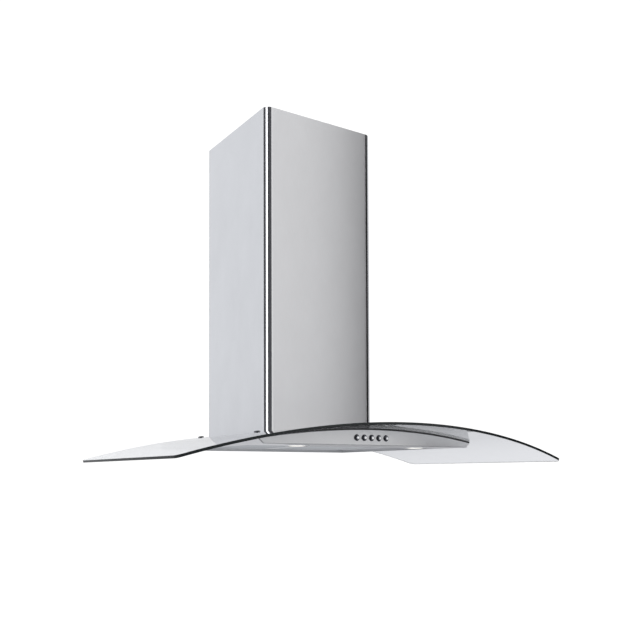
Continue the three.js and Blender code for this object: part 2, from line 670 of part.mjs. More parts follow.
function damper() {
  const [ledge, ledgeHeight] = collarLedge;
  const ledgeZ = flapHeight - flapThick / 2 - flapClear;
  const [flange, flangeTop] = [ductRadius + collarFlange, 1.5];
  const tube = [[collarInner, 0], [flange, 0], [flange, flangeTop], [ductRadius, flangeTop],
    [ductRadius, collarHeight], [collarInner, collarHeight], [collarInner, ledgeZ],
    [collarInner - ledge, ledgeZ], [collarInner - ledge, ledgeZ - ledgeHeight],
    [collarInner, ledgeZ - ledgeHeight]];
  const pinReach = ductRadius + 2;
  const pinHole = rod("y", pinRadius + seatGap, 0, 0, flapZ, -pinReach - 1, pinReach + 1);
  const collar = cut(turned(tube).translate([0, 0, collarZ]), pinHole);
  add("outlet_collar", "plastic", geometryOf(collar));
  add("damper_pin", "zinc", geometryOf(rod("y", pinRadius, 0, 0, flapZ, -pinReach, pinReach, 12)));

  const knuckle = pinRadius + 1.4;
  const edge = knuckle + 0.8;
  const flapRadius = collarInner - 1;
  const [knuckleFrom, knuckleTo] = [3, flapRadius - 10];
  for (const [side, turn] of [["left", 0], ["right", 180]]) {
    const [low, high] = [-flapThick / 2, flapThick / 2];
    const halfPlane = block(-flapRadius, -edge, -flapRadius, flapRadius, low - 1, high + 1);
    const disc = drum(flapRadius, low, high).intersect(halfPlane);
    const web = block(-edge - 1, -pinRadius - 0.6, knuckleFrom, knuckleTo, low, high);
    const barrel = rod("y", knuckle, 0, 0, 0, knuckleFrom, knuckleTo);
    const bore = rod("y", pinRadius + seatGap, 0, 0, 0, -flapRadius, flapRadius);
    const flap = cut(join(disc, web, barrel), bore).rotate([0, 0, turn]).translate([0, 0, flapZ]);
    add("damper_flap_" + side, "aluminium", geometryOf(flap));
  }
}

function lead(name, points, radius) {
  const path = new THREE.CatmullRomCurve3(points.map((p) => new THREE.Vector3(...p)));
  const section = new THREE.Shape().absarc(0, 0, radius, 0, 2 * Math.PI, false);
  const options = { steps: 14, curveSegments: 4, extrudePath: path, bevelEnabled: false };
  add(name, "wire", geometryOf(solidOf(new THREE.ExtrudeGeometry(section, options))));
}

function electrics() {
  const nook = pedestalHalf - angleThick - seatGap; // inside corner of a lower angle
  const boxSide = 34;
  const boxZ = collarZ + 12;
  const boxTop = boxZ + 80;
  const box = block(-nook, -nook + boxSide, -nook, -nook + boxSide, boxZ, boxTop);
  add("junction_box", "plastic", geometryOf(box));
  const glandAt = -nook + boxSide / 2;
  const gland = [[4, 0], [9, 0], [9, 5], [7, 6], [7, 14], [4, 14]];
  add("cable_gland", "plastic", geometryOf(turned(gland, 16)).translate(glandAt, glandAt, boxTop + seatGap));
  const canRadius = 15;
  const canAt = nook - canRadius;
  const can = rod("z", canRadius, canAt, -canAt, 0, boxZ - 8, boxZ + 54, 24);
  add("capacitor", "grey", geometryOf(can));

  const driverX = 24;
  const driverY = recessFrontY - lampStrip / 2 + 23;
  const driver = block(driverX, driverX + 62, driverY - 32, driverY, traySeatZ, traySeatZ + 13);
  add("lamp_driver", "plastic", geometryOf(driver));
  const backY = switchFaceY + switchDepth + seatGap;
  const leadZ = traySeatZ + 8;
  lead("switch_lead", [[-8, backY, leadZ + 1], [-8, backY + 10, leadZ + 1], [-2, backY + 24, leadZ],
    [10, driverY - 14, leadZ], [driverX - seatGap, driverY - 14, leadZ]], 2);
  const holeZ = motorZ + motorHeight - 8;
  // Down from the box, then in towards the motor along the front left diagonal.
  const inwards = (radius, z) => [-radius * Math.SQRT1_2, -radius * Math.SQRT1_2, z];
  const motorEnd = motorRadius + 4;
  lead("motor_lead", [[glandAt, glandAt, boxZ - seatGap], [glandAt, glandAt, boxZ - 14],
    inwards(blowerRadius + 10, holeZ + 5), inwards(blowerRadius - 6, holeZ),
    inwards(motorEnd + 14, holeZ - 2), inwards(motorEnd, holeZ - 4)], 2);
}

ceilingPlate();
frame();
covers();
glassCanopy();
glassScrews();
gasket();
canopyBody();
fascia();
switches();
lamps();
filterTray();
filters();
blower();
damper();
electrics();

export default hood;
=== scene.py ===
# Island range hood: curved glass canopy, brushed steel body and a telescopic chimney.
import json
from math import asin, atan, cos, pi, radians, sin, sqrt

import bmesh
import bpy
from mathutils import Matrix, Vector

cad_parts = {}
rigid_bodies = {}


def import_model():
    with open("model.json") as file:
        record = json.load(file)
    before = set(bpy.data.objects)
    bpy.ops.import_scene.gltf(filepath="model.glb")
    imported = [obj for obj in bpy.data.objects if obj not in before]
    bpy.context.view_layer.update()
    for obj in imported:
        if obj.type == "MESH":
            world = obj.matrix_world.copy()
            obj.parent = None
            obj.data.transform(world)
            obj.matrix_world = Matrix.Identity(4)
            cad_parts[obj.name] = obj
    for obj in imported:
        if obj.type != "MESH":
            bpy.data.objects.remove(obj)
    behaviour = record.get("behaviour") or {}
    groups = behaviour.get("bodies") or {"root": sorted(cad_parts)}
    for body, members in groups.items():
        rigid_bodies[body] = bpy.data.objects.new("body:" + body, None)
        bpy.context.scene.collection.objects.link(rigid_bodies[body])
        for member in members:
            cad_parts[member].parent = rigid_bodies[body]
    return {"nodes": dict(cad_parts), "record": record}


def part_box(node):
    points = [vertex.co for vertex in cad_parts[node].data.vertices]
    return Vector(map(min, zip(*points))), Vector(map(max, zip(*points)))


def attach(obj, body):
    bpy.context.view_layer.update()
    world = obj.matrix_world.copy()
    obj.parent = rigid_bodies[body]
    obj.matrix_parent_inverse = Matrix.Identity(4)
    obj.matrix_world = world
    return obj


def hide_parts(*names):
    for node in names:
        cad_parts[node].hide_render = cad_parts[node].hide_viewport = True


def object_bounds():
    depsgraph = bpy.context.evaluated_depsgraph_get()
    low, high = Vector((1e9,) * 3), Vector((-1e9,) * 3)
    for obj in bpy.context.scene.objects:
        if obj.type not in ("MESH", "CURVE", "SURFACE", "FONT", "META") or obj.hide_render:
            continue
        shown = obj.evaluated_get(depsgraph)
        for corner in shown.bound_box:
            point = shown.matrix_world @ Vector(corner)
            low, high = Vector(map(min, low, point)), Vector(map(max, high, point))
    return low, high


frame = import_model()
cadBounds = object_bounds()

mm = 0.001
nodes = frame["nodes"]
sceneObjects = bpy.context.scene.collection.objects
bodyOf = {node: body for body, members in frame["record"]["behaviour"]["bodies"].items() for node in members}


# Places that several pieces share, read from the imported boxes.
glassLow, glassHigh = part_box("glass_canopy")
fasciaLow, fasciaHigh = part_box("front_fascia")
glassThick = 5 * mm
gasketThick = 3 * mm
seatGap = 0.3 * mm  # between pieces that rest on each other
glassHalf = glassHigh.x
glassRise = glassHigh.z - glassLow.z
# The top face is an arc through the crown, and the box ends at the under face's tips.
glassRadius = (glassRise**2 + glassHalf**2 - glassThick**2) / (2 * (glassRise - glassThick))
arcCentreZ = glassHigh.z - glassRadius
bodyRadius = glassRadius - glassThick - gasketThick - 2 * seatGap
buttonNodes = [f"button_{i}" for i in range(1, 6)]
corners = ("front_left", "front_right", "rear_left", "rear_right")


def arcHeight(radius, x):
    return arcCentreZ + sqrt(radius**2 - x**2)


def bowOffset(x, half, bow):
    # How far an arc through the ends at +-half stands back from its middle, at x.
    radius = (half**2 + bow**2) / (2 * bow)
    return radius - sqrt(radius**2 - x**2)


print("Camera and studio")
cameraValues = {
    "place": (-0.9304, -1.5434, -0.7736),
    "heading": 33.36,  # degrees from +Y towards +X
    "pitch": 1.89,
    "roll": -0.21,
    "lens": 43.9,
    "sensor": 36,  # width in millimetres, as the lens is
    "shift": 0.2,
}


def makeCamera(values):
    heading, pitch, roll = (radians(values[key]) for key in ("heading", "pitch", "roll"))
    forward = Vector((sin(heading) * cos(pitch), cos(heading) * cos(pitch), sin(pitch)))
    level = Vector((cos(heading), -sin(heading), 0))
    upright = level.cross(forward)
    right = level * cos(roll) + upright * sin(roll)
    up = upright * cos(roll) - level * sin(roll)
    data = bpy.data.cameras.new("camera")
    data.lens = values["lens"]
    data.sensor_width = values["sensor"]
    data.shift_y = values["shift"]
    camera = bpy.data.objects.new("camera", data)
    sceneObjects.link(camera)
    turn = Matrix((right, up, -forward)).transposed().to_4x4()
    camera.matrix_world = Matrix.Translation(values["place"]) @ turn
    bpy.context.scene.camera = camera


makeCamera(cameraValues)
bpy.context.scene.view_settings.view_transform = "Standard"


def linearColour(hexText):
    # sRGB hex, such as "#c8c9cb", to the linear colour that a shader takes.
    channels = [int(hexText[i : i + 2], 16) / 255 for i in (1, 3, 5)]
    linear = [c / 12.92 if c <= 0.04045 else ((c + 0.055) / 1.055) ** 2.4 for c in channels]
    return (*linear, 1.0)


def addNode(tree, kind, settings=None, inputs=None):
    # Adds a node; each input is a constant, or an output socket to link from.
    node = tree.nodes.new(kind)
    for name, value in (settings or {}).items():
        setattr(node, name, value)
    for name, value in (inputs or {}).items():
        if isinstance(value, bpy.types.NodeSocket):
            tree.links.new(value, node.inputs[name])
        else:
            node.inputs[name].default_value = value
    return node


def newMaterial(name, constants):
    # A material with a Principled shader, whose constants sit on its own sockets.
    material = bpy.data.materials.new(name)
    material.use_nodes = True
    tree = material.node_tree
    shader = tree.nodes["Principled BSDF"]
    for socket, value in constants.items():
        shader.inputs[socket].default_value = value
    return material, tree, shader


def objectPattern(tree, kind, size, settings=None, inputs=None):
    # A texture on Object coordinates; size is its cell in metres along X, Y and Z.
    place = addNode(tree, "ShaderNodeTexCoord")
    scaled = addNode(tree, "ShaderNodeMapping", inputs={
        "Vector": place.outputs["Object"], "Scale": tuple(1 / s for s in size)})
    return addNode(tree, kind, settings, {"Vector": scaled.outputs["Vector"], **(inputs or {})})


def between(tree, value, low, high):
    # Spreads a 0 to 1 value over low to high.
    spread = addNode(tree, "ShaderNodeMapRange", inputs={"Value": value, "To Min": low, "To Max": high})
    return spread.outputs["Result"]


def tinted(tree, value, dark, light):
    # Runs a 0 to 1 value between two sRGB colours.
    mix = addNode(tree, "ShaderNodeMix", {"data_type": "RGBA"}, {0: value})
    mix.inputs[6].default_value = linearColour(dark)
    mix.inputs[7].default_value = linearColour(light)
    return mix.outputs[2]


def bumped(tree, shader, height, depth, strength=1.0):
    # Depth is the real height of the relief in metres.
    bump = addNode(tree, "ShaderNodeBump", inputs={"Height": height, "Distance": depth, "Strength": strength})
    tree.links.new(bump.outputs["Normal"], shader.inputs["Normal"])


def brushedSteel(name, values):
    # Stainless sheet, belt brushed: a satin metal with fine broken lines along the grain,
    # a slow change of tone along the sheet and a few softer, more polished patches.
    material, tree, shader = newMaterial(name, {"Metallic": 1.0})
    grain = objectPattern(tree, "ShaderNodeTexNoise", values["grain"], inputs={
        "Detail": 3.0, "Roughness": 0.6})
    cloud = objectPattern(tree, "ShaderNodeTexNoise", values["cloud"], inputs={"Detail": 2.0})
    both = addNode(tree, "ShaderNodeMath", {"operation": "MULTIPLY_ADD"}, {
        0: grain.outputs["Fac"], 1: 0.6, 2: between(tree, cloud.outputs["Fac"], 0.0, 0.4)})
    colour = tinted(tree, both.outputs[0], values["dark"], values["light"])
    tree.links.new(colour, shader.inputs["Base Color"])
    tree.links.new(between(tree, both.outputs[0], *values["roughness"]), shader.inputs["Roughness"])
    bumped(tree, shader, grain.outputs["Fac"], values["relief"])
    return material


# Grain lines are about 0.2 mm apart on the real sheet; drawn 1.2 mm apart so that they show.
uprightValues = {
    "grain": (1.2 * mm, 1.2 * mm, 90 * mm),
    "cloud": (260 * mm, 260 * mm, 420 * mm),
    "dark": "#b9babd",
    "light": "#d2d3d6",
    "roughness": (0.26, 0.36),
    "relief": 0.004 * mm,
}
# The bends are stretched smooth in the press.
bendValues = {**uprightValues, "roughness": (0.06, 0.14), "relief": 0.001 * mm}
acrossValues = {
    **uprightValues,
    "grain": (90 * mm, 1.2 * mm, 1.2 * mm),
    "cloud": (300 * mm, 260 * mm, 260 * mm),
    "dark": "#b3b4b6",
    "light": "#cdced0",
}
chimneySteel = brushedSteel("brushedSteelUpright", uprightValues)
bendSteel = brushedSteel("brushedSteelBend", bendValues)
canopySteel = brushedSteel("brushedSteelAcross", acrossValues)


def polishedSteel():
    # Turned and buffed stainless: near mirror, with a faint haze left by the wheel.
    material, tree, shader = newMaterial("polishedSteel", {"Metallic": 1.0})
    haze = objectPattern(tree, "ShaderNodeTexNoise", (2 * mm, 2 * mm, 2 * mm), inputs={"Detail": 4.0})
    tree.links.new(tinted(tree, haze.outputs["Fac"], "#cfd0d2", "#e4e5e7"), shader.inputs["Base Color"])
    tree.links.new(between(tree, haze.outputs["Fac"], 0.06, 0.18), shader.inputs["Roughness"])
    return material


def zincPlate():
    # Hot-dip galvanised sheet: pale blue-grey spangles about 9 mm across, each of its own tone.
    material, tree, shader = newMaterial("galvanisedSheet", {"Metallic": 1.0})
    spangle = objectPattern(tree, "ShaderNodeTexVoronoi", (9 * mm, 9 * mm, 9 * mm))
    tone = addNode(tree, "ShaderNodeSeparateColor", inputs={"Color": spangle.outputs["Color"]})
    tree.links.new(tinted(tree, tone.outputs["Red"], "#9a9fa4", "#bcc1c5"), shader.inputs["Base Color"])
    tree.links.new(between(tree, tone.outputs["Green"], 0.35, 0.55), shader.inputs["Roughness"])
    bumped(tree, shader, tone.outputs["Blue"], 0.01 * mm, 0.4)
    return material


def canopyGlass():
    # Toughened float glass, bent in a furnace: clear with a faint blue-grey tint,
    # and a roller wave of a few micrometres that makes reflections swim a little.
    material, tree, shader = newMaterial("bentClearGlass", {
        "Transmission Weight": 1.0, "IOR": 1.52, "Roughness": 0.0})
    wave = objectPattern(tree, "ShaderNodeTexNoise", (70 * mm, 220 * mm, 70 * mm), inputs={"Detail": 1.0})
    tree.links.new(tinted(tree, wave.outputs["Fac"], "#f3f4f7", "#f9fafc"), shader.inputs["Base Color"])
    bumped(tree, shader, wave.outputs["Fac"], 0.02 * mm, 0.5)
    return material


def glassEdge():
    # The ground and polished edge: light runs along inside the pane and leaves it nearly black,
    # with a fine lengthways grind.
    material, tree, shader = newMaterial("groundGlassEdge", {"IOR": 1.52, "Specular IOR Level": 0.2})
    grind = objectPattern(tree, "ShaderNodeTexNoise", (6 * mm, 6 * mm, 0.5 * mm), inputs={"Detail": 3.0})
    tree.links.new(tinted(tree, grind.outputs["Fac"], "#0b0e0f", "#191e20"), shader.inputs["Base Color"])
    tree.links.new(between(tree, grind.outputs["Fac"], 0.14, 0.3), shader.inputs["Roughness"])
    return material


def mouldedPlastic(name, dark, light, roughness, grainSize=0.6 * mm):
    # Injection-moulded ABS: a spark-eroded grain that breaks up the shine.
    material, tree, shader = newMaterial(name, {"IOR": 1.53})
    grain = objectPattern(tree, "ShaderNodeTexNoise", (grainSize,) * 3, inputs={"Detail": 2.0})
    flow = objectPattern(tree, "ShaderNodeTexNoise", (40 * mm,) * 3)
    tree.links.new(tinted(tree, flow.outputs["Fac"], dark, light), shader.inputs["Base Color"])
    shine = between(tree, grain.outputs["Fac"], roughness - 0.08, roughness + 0.08)
    tree.links.new(shine, shader.inputs["Roughness"])
    bumped(tree, shader, grain.outputs["Fac"], 0.03 * mm)
    return material


def gasketRubber():
    # Extruded EPDM: matt black, with a dusty bloom in soft patches.
    material, tree, shader = newMaterial("extrudedRubber", {"IOR": 1.5})
    bloom = objectPattern(tree, "ShaderNodeTexNoise", (14 * mm, 14 * mm, 3 * mm), inputs={"Detail": 4.0})
    tree.links.new(tinted(tree, bloom.outputs["Fac"], "#141516", "#292a2c"), shader.inputs["Base Color"])
    tree.links.new(between(tree, bloom.outputs["Fac"], 0.6, 0.8), shader.inputs["Roughness"])
    bumped(tree, shader, bloom.outputs["Fac"], 0.05 * mm)
    return material


def millAluminium(name, dark, light):
    # Rolled aluminium: soft grey with short rolling marks and a low, even shine.
    material, tree, shader = newMaterial(name, {"Metallic": 1.0})
    rolled = objectPattern(tree, "ShaderNodeTexNoise", (1 * mm, 25 * mm, 1 * mm), inputs={"Detail": 3.0})
    tree.links.new(tinted(tree, rolled.outputs["Fac"], dark, light), shader.inputs["Base Color"])
    tree.links.new(between(tree, rolled.outputs["Fac"], 0.3, 0.48), shader.inputs["Roughness"])
    bumped(tree, shader, rolled.outputs["Fac"], 0.006 * mm)
    return material


def motorSteel():
    # Stove-enamelled steel of the motor can and the capacitor: smooth with slight orange peel.
    material, tree, shader = newMaterial("enamelledSteel", {"IOR": 1.5, "Coat Weight": 0.3})
    peel = objectPattern(tree, "ShaderNodeTexNoise", (3 * mm,) * 3, inputs={"Detail": 1.0})
    tree.links.new(tinted(tree, peel.outputs["Fac"], "#55595d", "#63676b"), shader.inputs["Base Color"])
    tree.links.new(between(tree, peel.outputs["Fac"], 0.38, 0.5), shader.inputs["Roughness"])
    bumped(tree, shader, peel.outputs["Fac"], 0.03 * mm)
    return material


def lampLens(name, centre, radius, strength):
    # Frosted lens of a lit lamp: nearly neutral white, brightest over the bulb and softer at the rim.
    material, tree, shader = newMaterial(name, {"IOR": 1.47, "Roughness": 0.45, "Transmission Weight": 0.3})
    place = addNode(tree, "ShaderNodeTexCoord")
    centred = addNode(tree, "ShaderNodeMapping", {"vector_type": "TEXTURE"}, {
        "Vector": place.outputs["Object"], "Location": tuple(centre), "Scale": (radius,) * 3})
    fall = addNode(tree, "ShaderNodeTexGradient", {"gradient_type": "SPHERICAL"}, {
        "Vector": centred.outputs["Vector"]})
    frost = objectPattern(tree, "ShaderNodeTexNoise", (1.2 * mm,) * 3, inputs={"Detail": 2.0})
    tree.links.new(tinted(tree, frost.outputs["Fac"], "#ece9df", "#faf8f1"), shader.inputs["Base Color"])
    tree.links.new(tinted(tree, fall.outputs["Fac"], "#f4f2ee", "#fdfdfb"), shader.inputs["Emission Color"])
    glow = between(tree, fall.outputs["Fac"], strength * 0.5, strength)
    tree.links.new(glow, shader.inputs["Emission Strength"])
    bumped(tree, shader, frost.outputs["Fac"], 0.05 * mm)
    return material


def blackNickelAndShadowLine():
    # Black nickel plate: a dark mirror, slightly hazed. It stands on the button barrels, their
    # bezels and the screws. On the fascia's rounded edge it is painted shadow: a dark line for the shaded gap
    # round the strip.
    material, tree, shader = newMaterial("blackNickelAndPaintedShadow", {"Metallic": 1.0})
    haze = objectPattern(tree, "ShaderNodeTexNoise", (1.5 * mm,) * 3, inputs={"Detail": 4.0})
    tree.links.new(tinted(tree, haze.outputs["Fac"], "#35373b", "#4c4e53"), shader.inputs["Base Color"])
    tree.links.new(between(tree, haze.outputs["Fac"], 0.14, 0.28), shader.inputs["Roughness"])
    return material


polished = polishedSteel()
darkPlateAndShadowLine = blackNickelAndShadowLine()
zinc = zincPlate()
clearGlass = canopyGlass()
darkEdge = glassEdge()
rubber = gasketRubber()
blackPlastic = mouldedPlastic("mouldedBlackPlastic", "#1b1c1e", "#26272a", 0.42)
greyPlastic = mouldedPlastic("mouldedGreyPlastic", "#62666a", "#73777b", 0.5)
wireSheath = mouldedPlastic("flexiblePvcSheath", "#1f2022", "#303134", 0.55, 1.5 * mm)
frameAluminium = millAluminium("rolledAluminium", "#a3a6a9", "#c3c6c8")
meshAluminium = millAluminium("expandedAluminium", "#96999c", "#b7babc")
enamel = motorSteel()

studioValues = {
    "floorDrop": 2.5,  # floor below the lowest point
    "floorSize": 200.0,
    "floorColour": "#f4f4f3",
    "floorFleck": ("#f8f8f8", 0.3),  # tone and size of the paint's slow unevenness
    "floorGlow": 0.3,
    "sheetLift": 5 * mm,
    "sheetGlow": 1.12,
    "sheetTones": ("#c9cacd", "#fcfcff"),  # far off and close by
    "sheetFade": 10,  # how far out the close tone is gone
    "backdrop": 1.1,
    "room": 0.8,  # light from the room away from its bright walls
    "roomColour": "#fcfdff",
    # Bright walls: direction, strength and colour.
    "walls": [((-0.56, 0.8, 0.2), 0.36, "#fafcff"), ((0.5, -0.84, 0.2), 0.42, "#fffaf2")],
    "wallEdge": (0.35, 0.95),  # cosines from the wall's middle between which it fades in
    # Softboxes: place, size and power in watts.
    "softboxes": {
        "sideSoftbox": ((-3.6, -2.1, 0.4), (1.5, 3.0), 40),
        "overheadSoftbox": ((0.4, -0.6, 3.2), (3.0, 3.0), 60),
    },
    # Dark cards: heading and spread in degrees, distance, lower and upper edge, tone.
    "flags": {
        "frontFlag": (-20.5, 59, 4.6, -0.72, 2.6, "#4c4c4f"),
        "leftFlag": (-96, 36, 4.6, -0.72, 2.6, "#4c4c4f"),
        "rightFlag": (55.6, 38.8, 1.0, -0.8, 0.9, "#101012"),
        "rearFlag": (132, 34, 4.6, -1.6, 2.6, "#1c1c1e"),
    },
    "flagSegments": 360,  # of a full turn, so that a card's ends are true to a degree
}


def makeRoom(values):
    # A white backdrop for the camera, and a soft grey room with two bright walls for everything else.
    world = bpy.data.worlds.new("room")
    world.use_nodes = True
    tree = world.node_tree
    tree.nodes.clear()
    look = addNode(tree, "ShaderNodeTexCoord")
    light = addNode(tree, "ShaderNodeBackground", inputs={
        "Color": linearColour(values["roomColour"]), "Strength": values["room"]}).outputs[0]
    edge, middle = values["wallEdge"]
    for direction, gain, colour in values["walls"]:
        facing = addNode(tree, "ShaderNodeVectorMath", {"operation": "DOT_PRODUCT"}, {
            0: look.outputs["Generated"], 1: tuple(Vector(direction).normalized())})
        glow = addNode(tree, "ShaderNodeMapRange", {"interpolation_type": "SMOOTHSTEP"}, {
            "Value": facing.outputs["Value"], "From Min": edge, "From Max": middle, "To Max": gain})
        wall = addNode(tree, "ShaderNodeBackground", inputs={
            "Color": linearColour(colour), "Strength": glow.outputs["Result"]})
        light = addNode(tree, "ShaderNodeAddShader", inputs={0: light, 1: wall.outputs[0]}).outputs[0]
    backdrop = addNode(tree, "ShaderNodeBackground", inputs={"Strength": values["backdrop"]})
    backdrop.inputs["Color"].default_value = (1, 1, 1, 1)
    path = addNode(tree, "ShaderNodeLightPath")
    mix = addNode(tree, "ShaderNodeMixShader", inputs={
        0: path.outputs["Is Camera Ray"], 1: light, 2: backdrop.outputs[0]})
    addNode(tree, "ShaderNodeOutputWorld", inputs={"Surface": mix.outputs[0]})
    bpy.context.scene.world = world


def unseen(card):
    # A card that only reflections see, as one outside the frame would be.
    card.visible_camera = False
    card.visible_diffuse = False
    card.visible_shadow = False


def meshObject(name, bm):
    mesh = bpy.data.meshes.new(name)
    bm.to_mesh(mesh)
    bm.free()
    piece = bpy.data.objects.new(name, mesh)
    sceneObjects.link(piece)
    return piece


def levelSheet(name, height, size):
    bm = bmesh.new()
    bmesh.ops.create_grid(bm, x_segments=1, y_segments=1, size=size / 2)
    bmesh.ops.translate(bm, verts=bm.verts, vec=(0, 0, height))
    return meshObject(name, bm)


def makeStudio(values):
    # Pale painted floor, and a grey sheet on it that the steel and the glass reflect.
    floorZ = cadBounds[0].z - values["floorDrop"]
    floor = levelSheet("floor", floorZ, values["floorSize"])
    material, tree, shader = newMaterial("mattFloorPaint", {
        "Roughness": 0.85, "Emission Color": (1, 1, 1, 1), "Emission Strength": values["floorGlow"]})
    fleckTone, fleckSize = values["floorFleck"]
    fleck = objectPattern(tree, "ShaderNodeTexNoise", (fleckSize,) * 3)
    paint = tinted(tree, fleck.outputs["Fac"], values["floorColour"], fleckTone)
    tree.links.new(paint, shader.inputs["Base Color"])
    floor.data.materials.append(material)

    sheet = levelSheet("greySheet", floorZ + values["sheetLift"], values["floorSize"])
    material, tree, shader = newMaterial("litGreyPaper", {
        "Base Color": (0, 0, 0, 1), "Specular IOR Level": 0, "Emission Strength": values["sheetGlow"]})
    place = addNode(tree, "ShaderNodeTexCoord")
    fade = 1 / values["sheetFade"]
    near = addNode(tree, "ShaderNodeMapping", inputs={
        "Vector": place.outputs["Object"], "Scale": (fade, fade, 0)})
    fall = addNode(tree, "ShaderNodeTexGradient", {"gradient_type": "SPHERICAL"}, {
        "Vector": near.outputs["Vector"]})
    tree.links.new(tinted(tree, fall.outputs["Fac"], *values["sheetTones"]), shader.inputs["Emission Color"])
    sheet.data.materials.append(material)
    unseen(sheet)


def makeFlag(name, heading, spread, distance, low, high, tone):
    # A dark card that only reflections see: it draws the dark lines in the steel's bends.
    # Heading and spread are degrees round Z from -Y towards +X.
    bm = bmesh.new()
    bmesh.ops.create_circle(bm, segments=studioValues["flagSegments"], radius=distance)
    walls = bmesh.ops.extrude_edge_only(bm, edges=bm.edges[:])
    top = [v for v in walls["geom"] if isinstance(v, bmesh.types.BMVert)]
    bmesh.ops.translate(bm, verts=bm.verts, vec=(0, 0, low))
    bmesh.ops.translate(bm, verts=top, vec=(0, 0, high - low))
    middle = Vector((sin(radians(heading)), -cos(radians(heading)), 0))
    outside = []
    for face in bm.faces:
        towards = Vector((*face.calc_center_median().xy, 0))
        if towards.angle(middle) > radians(spread / 2):
            outside.append(face)
    bmesh.ops.delete(bm, geom=outside, context="FACES")
    card = meshObject(name, bm)
    card.visible_transmission = False
    cloth = newMaterial(name + "Cloth", {"Roughness": 0.9, "Base Color": linearColour(tone)})[0]
    card.data.materials.append(cloth)
    unseen(card)


def makeSoftbox(name, place, size, power):
    # An area light aimed at the middle of the hood.
    target = (cadBounds[0] + cadBounds[1]) / 2
    data = bpy.data.lights.new(name, "AREA")
    data.shape = "RECTANGLE"
    data.size, data.size_y = size
    data.energy = power
    light = bpy.data.objects.new(name, data)
    sceneObjects.link(light)
    light.location = place
    light.rotation_euler = (target - Vector(place)).to_track_quat("-Z", "Y").to_euler()


makeRoom(studioValues)
makeStudio(studioValues)
for name, softbox in studioValues["softboxes"].items():
    makeSoftbox(name, *softbox)
for name, flag in studioValues["flags"].items():
    makeFlag(name, *flag)


print("Modelling helpers")
weldValues = {
    "turned": 0.001 * mm,  # how near points join in a turned piece
    "packed": 0.004 * mm,  # and in a packed one
    "flat": 0.3,  # degrees between faces that count as one
}


def spun(profile, steps, closed=False):
    # Turns a (radius, height) profile round Z.
    bm = bmesh.new()
    verts = [bm.verts.new((r, 0, z)) for r, z in profile]
    edges = [bm.edges.new(pair) for pair in zip(verts, verts[1:] + (verts[:1] if closed else []))]
    bmesh.ops.spin(bm, geom=verts + edges, cent=(0, 0, 0), axis=(0, 0, 1), angle=2 * pi, steps=steps,
                   use_merge=True)
    bmesh.ops.remove_doubles(bm, verts=bm.verts, dist=weldValues["turned"])
    bmesh.ops.recalc_face_normals(bm, faces=bm.faces)
    return bm


def forwards(centre):
    # Stands a piece turned round Z so that its height runs towards the front.
    return Matrix.Translation(centre) @ Matrix.Rotation(radians(90), 4, "X")


def finish(piece, material, replaced, bevel=0.3 * mm, segments=2, limit=30):
    # Finish, edge rounding, and the body that the piece rides on.
    for one in material if isinstance(material, list) else [material]:
        piece.data.materials.append(one)
    piece.data.shade_smooth()
    piece.data.set_sharp_from_angle(angle=radians(limit))
    if bevel:
        rounding = piece.modifiers.new("edges", "BEVEL")
        rounding.width = bevel
        rounding.segments = segments
        rounding.limit_method = "ANGLE"
        rounding.angle_limit = radians(limit)
        rounding.harden_normals = True
    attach(piece, bodyOf[replaced[0]])
    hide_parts(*replaced)


def cutAway(piece, bm):
    # Cuts another shape out of a piece and keeps the result as its mesh.
    cutter = meshObject("cutter", bm)
    cut = piece.modifiers.new("cut", "BOOLEAN")
    cut.operation = "DIFFERENCE"
    cut.solver = "EXACT"
    cut.object = cutter
    result = bpy.data.meshes.new_from_object(piece.evaluated_get(bpy.context.evaluated_depsgraph_get()))
    piece.modifiers.remove(cut)
    plain = piece.data
    piece.data = result
    bpy.data.meshes.remove(plain)
    result.name = piece.name
    bpy.data.objects.remove(cutter)


def merged(node):
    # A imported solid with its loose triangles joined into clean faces.
    bm = bmesh.new()
    bm.from_mesh(nodes[node].data)
    bmesh.ops.remove_doubles(bm, verts=bm.verts, dist=weldValues["packed"])
    bmesh.ops.dissolve_limit(bm, angle_limit=radians(weldValues["flat"]), verts=bm.verts, edges=bm.edges)
    return bm


def addShape(bm, extra, material=0):
    # Adds another shape to a mesh, with its faces on the given material.
    spare = bpy.data.meshes.new("spare")
    extra.to_mesh(spare)
    extra.free()
    count = len(bm.faces)
    bm.from_mesh(spare)
    bpy.data.meshes.remove(spare)
    bm.faces.ensure_lookup_table()
    for face in bm.faces[count:]:
        face.material_index = material


def drillHole(piece, radius, below, above, place, steps):
    # Bores a round hole that reaches below and above a place, which is a matrix.
    hole = spun([(0, -below), (radius, -below), (radius, above), (0, above)], steps)
    hole.transform(place)
    cutAway(piece, hole)


def refined(node, name, material, bevel=0.3 * mm, segments=2):
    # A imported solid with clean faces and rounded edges.
    bm = merged(node)
    bmesh.ops.recalc_face_normals(bm, faces=bm.faces)
    finish(meshObject(name, bm), material, [node], bevel, segments)


def cutAlong(bm, axis, places):
    # Adds a line of edges across the mesh at each place on an axis.
    normal = Vector((axis == "x", axis == "y", axis == "z"))
    for place in places:
        everything = bm.verts[:] + bm.edges[:] + bm.faces[:]
        bmesh.ops.bisect_plane(bm, geom=everything, dist=1e-7, plane_co=normal * place, plane_no=normal)


def evenly(low, high, count):
    # The places between low and high that part it into count equal lengths.
    return [low + (high - low) * i / count for i in range(1, count)]


print("Chimney covers")
chimneyValues = {
    "corner": 16 * mm,  # outer bend of the lower cover
    "cornerSegments": 16,
    "sheet": 1 * mm,
    "arcCuts": 40,
    "stepBack": 0.5 * mm,  # behind the glass, where the foot steps down on to the body
    "stepWidth": 0.1 * mm,
    "bendStart": 0.03,  # how far a face turns from square before it counts as a bend
    "rounding": 0.25 * mm,
    "rearRounding": 0.2 * mm,
}


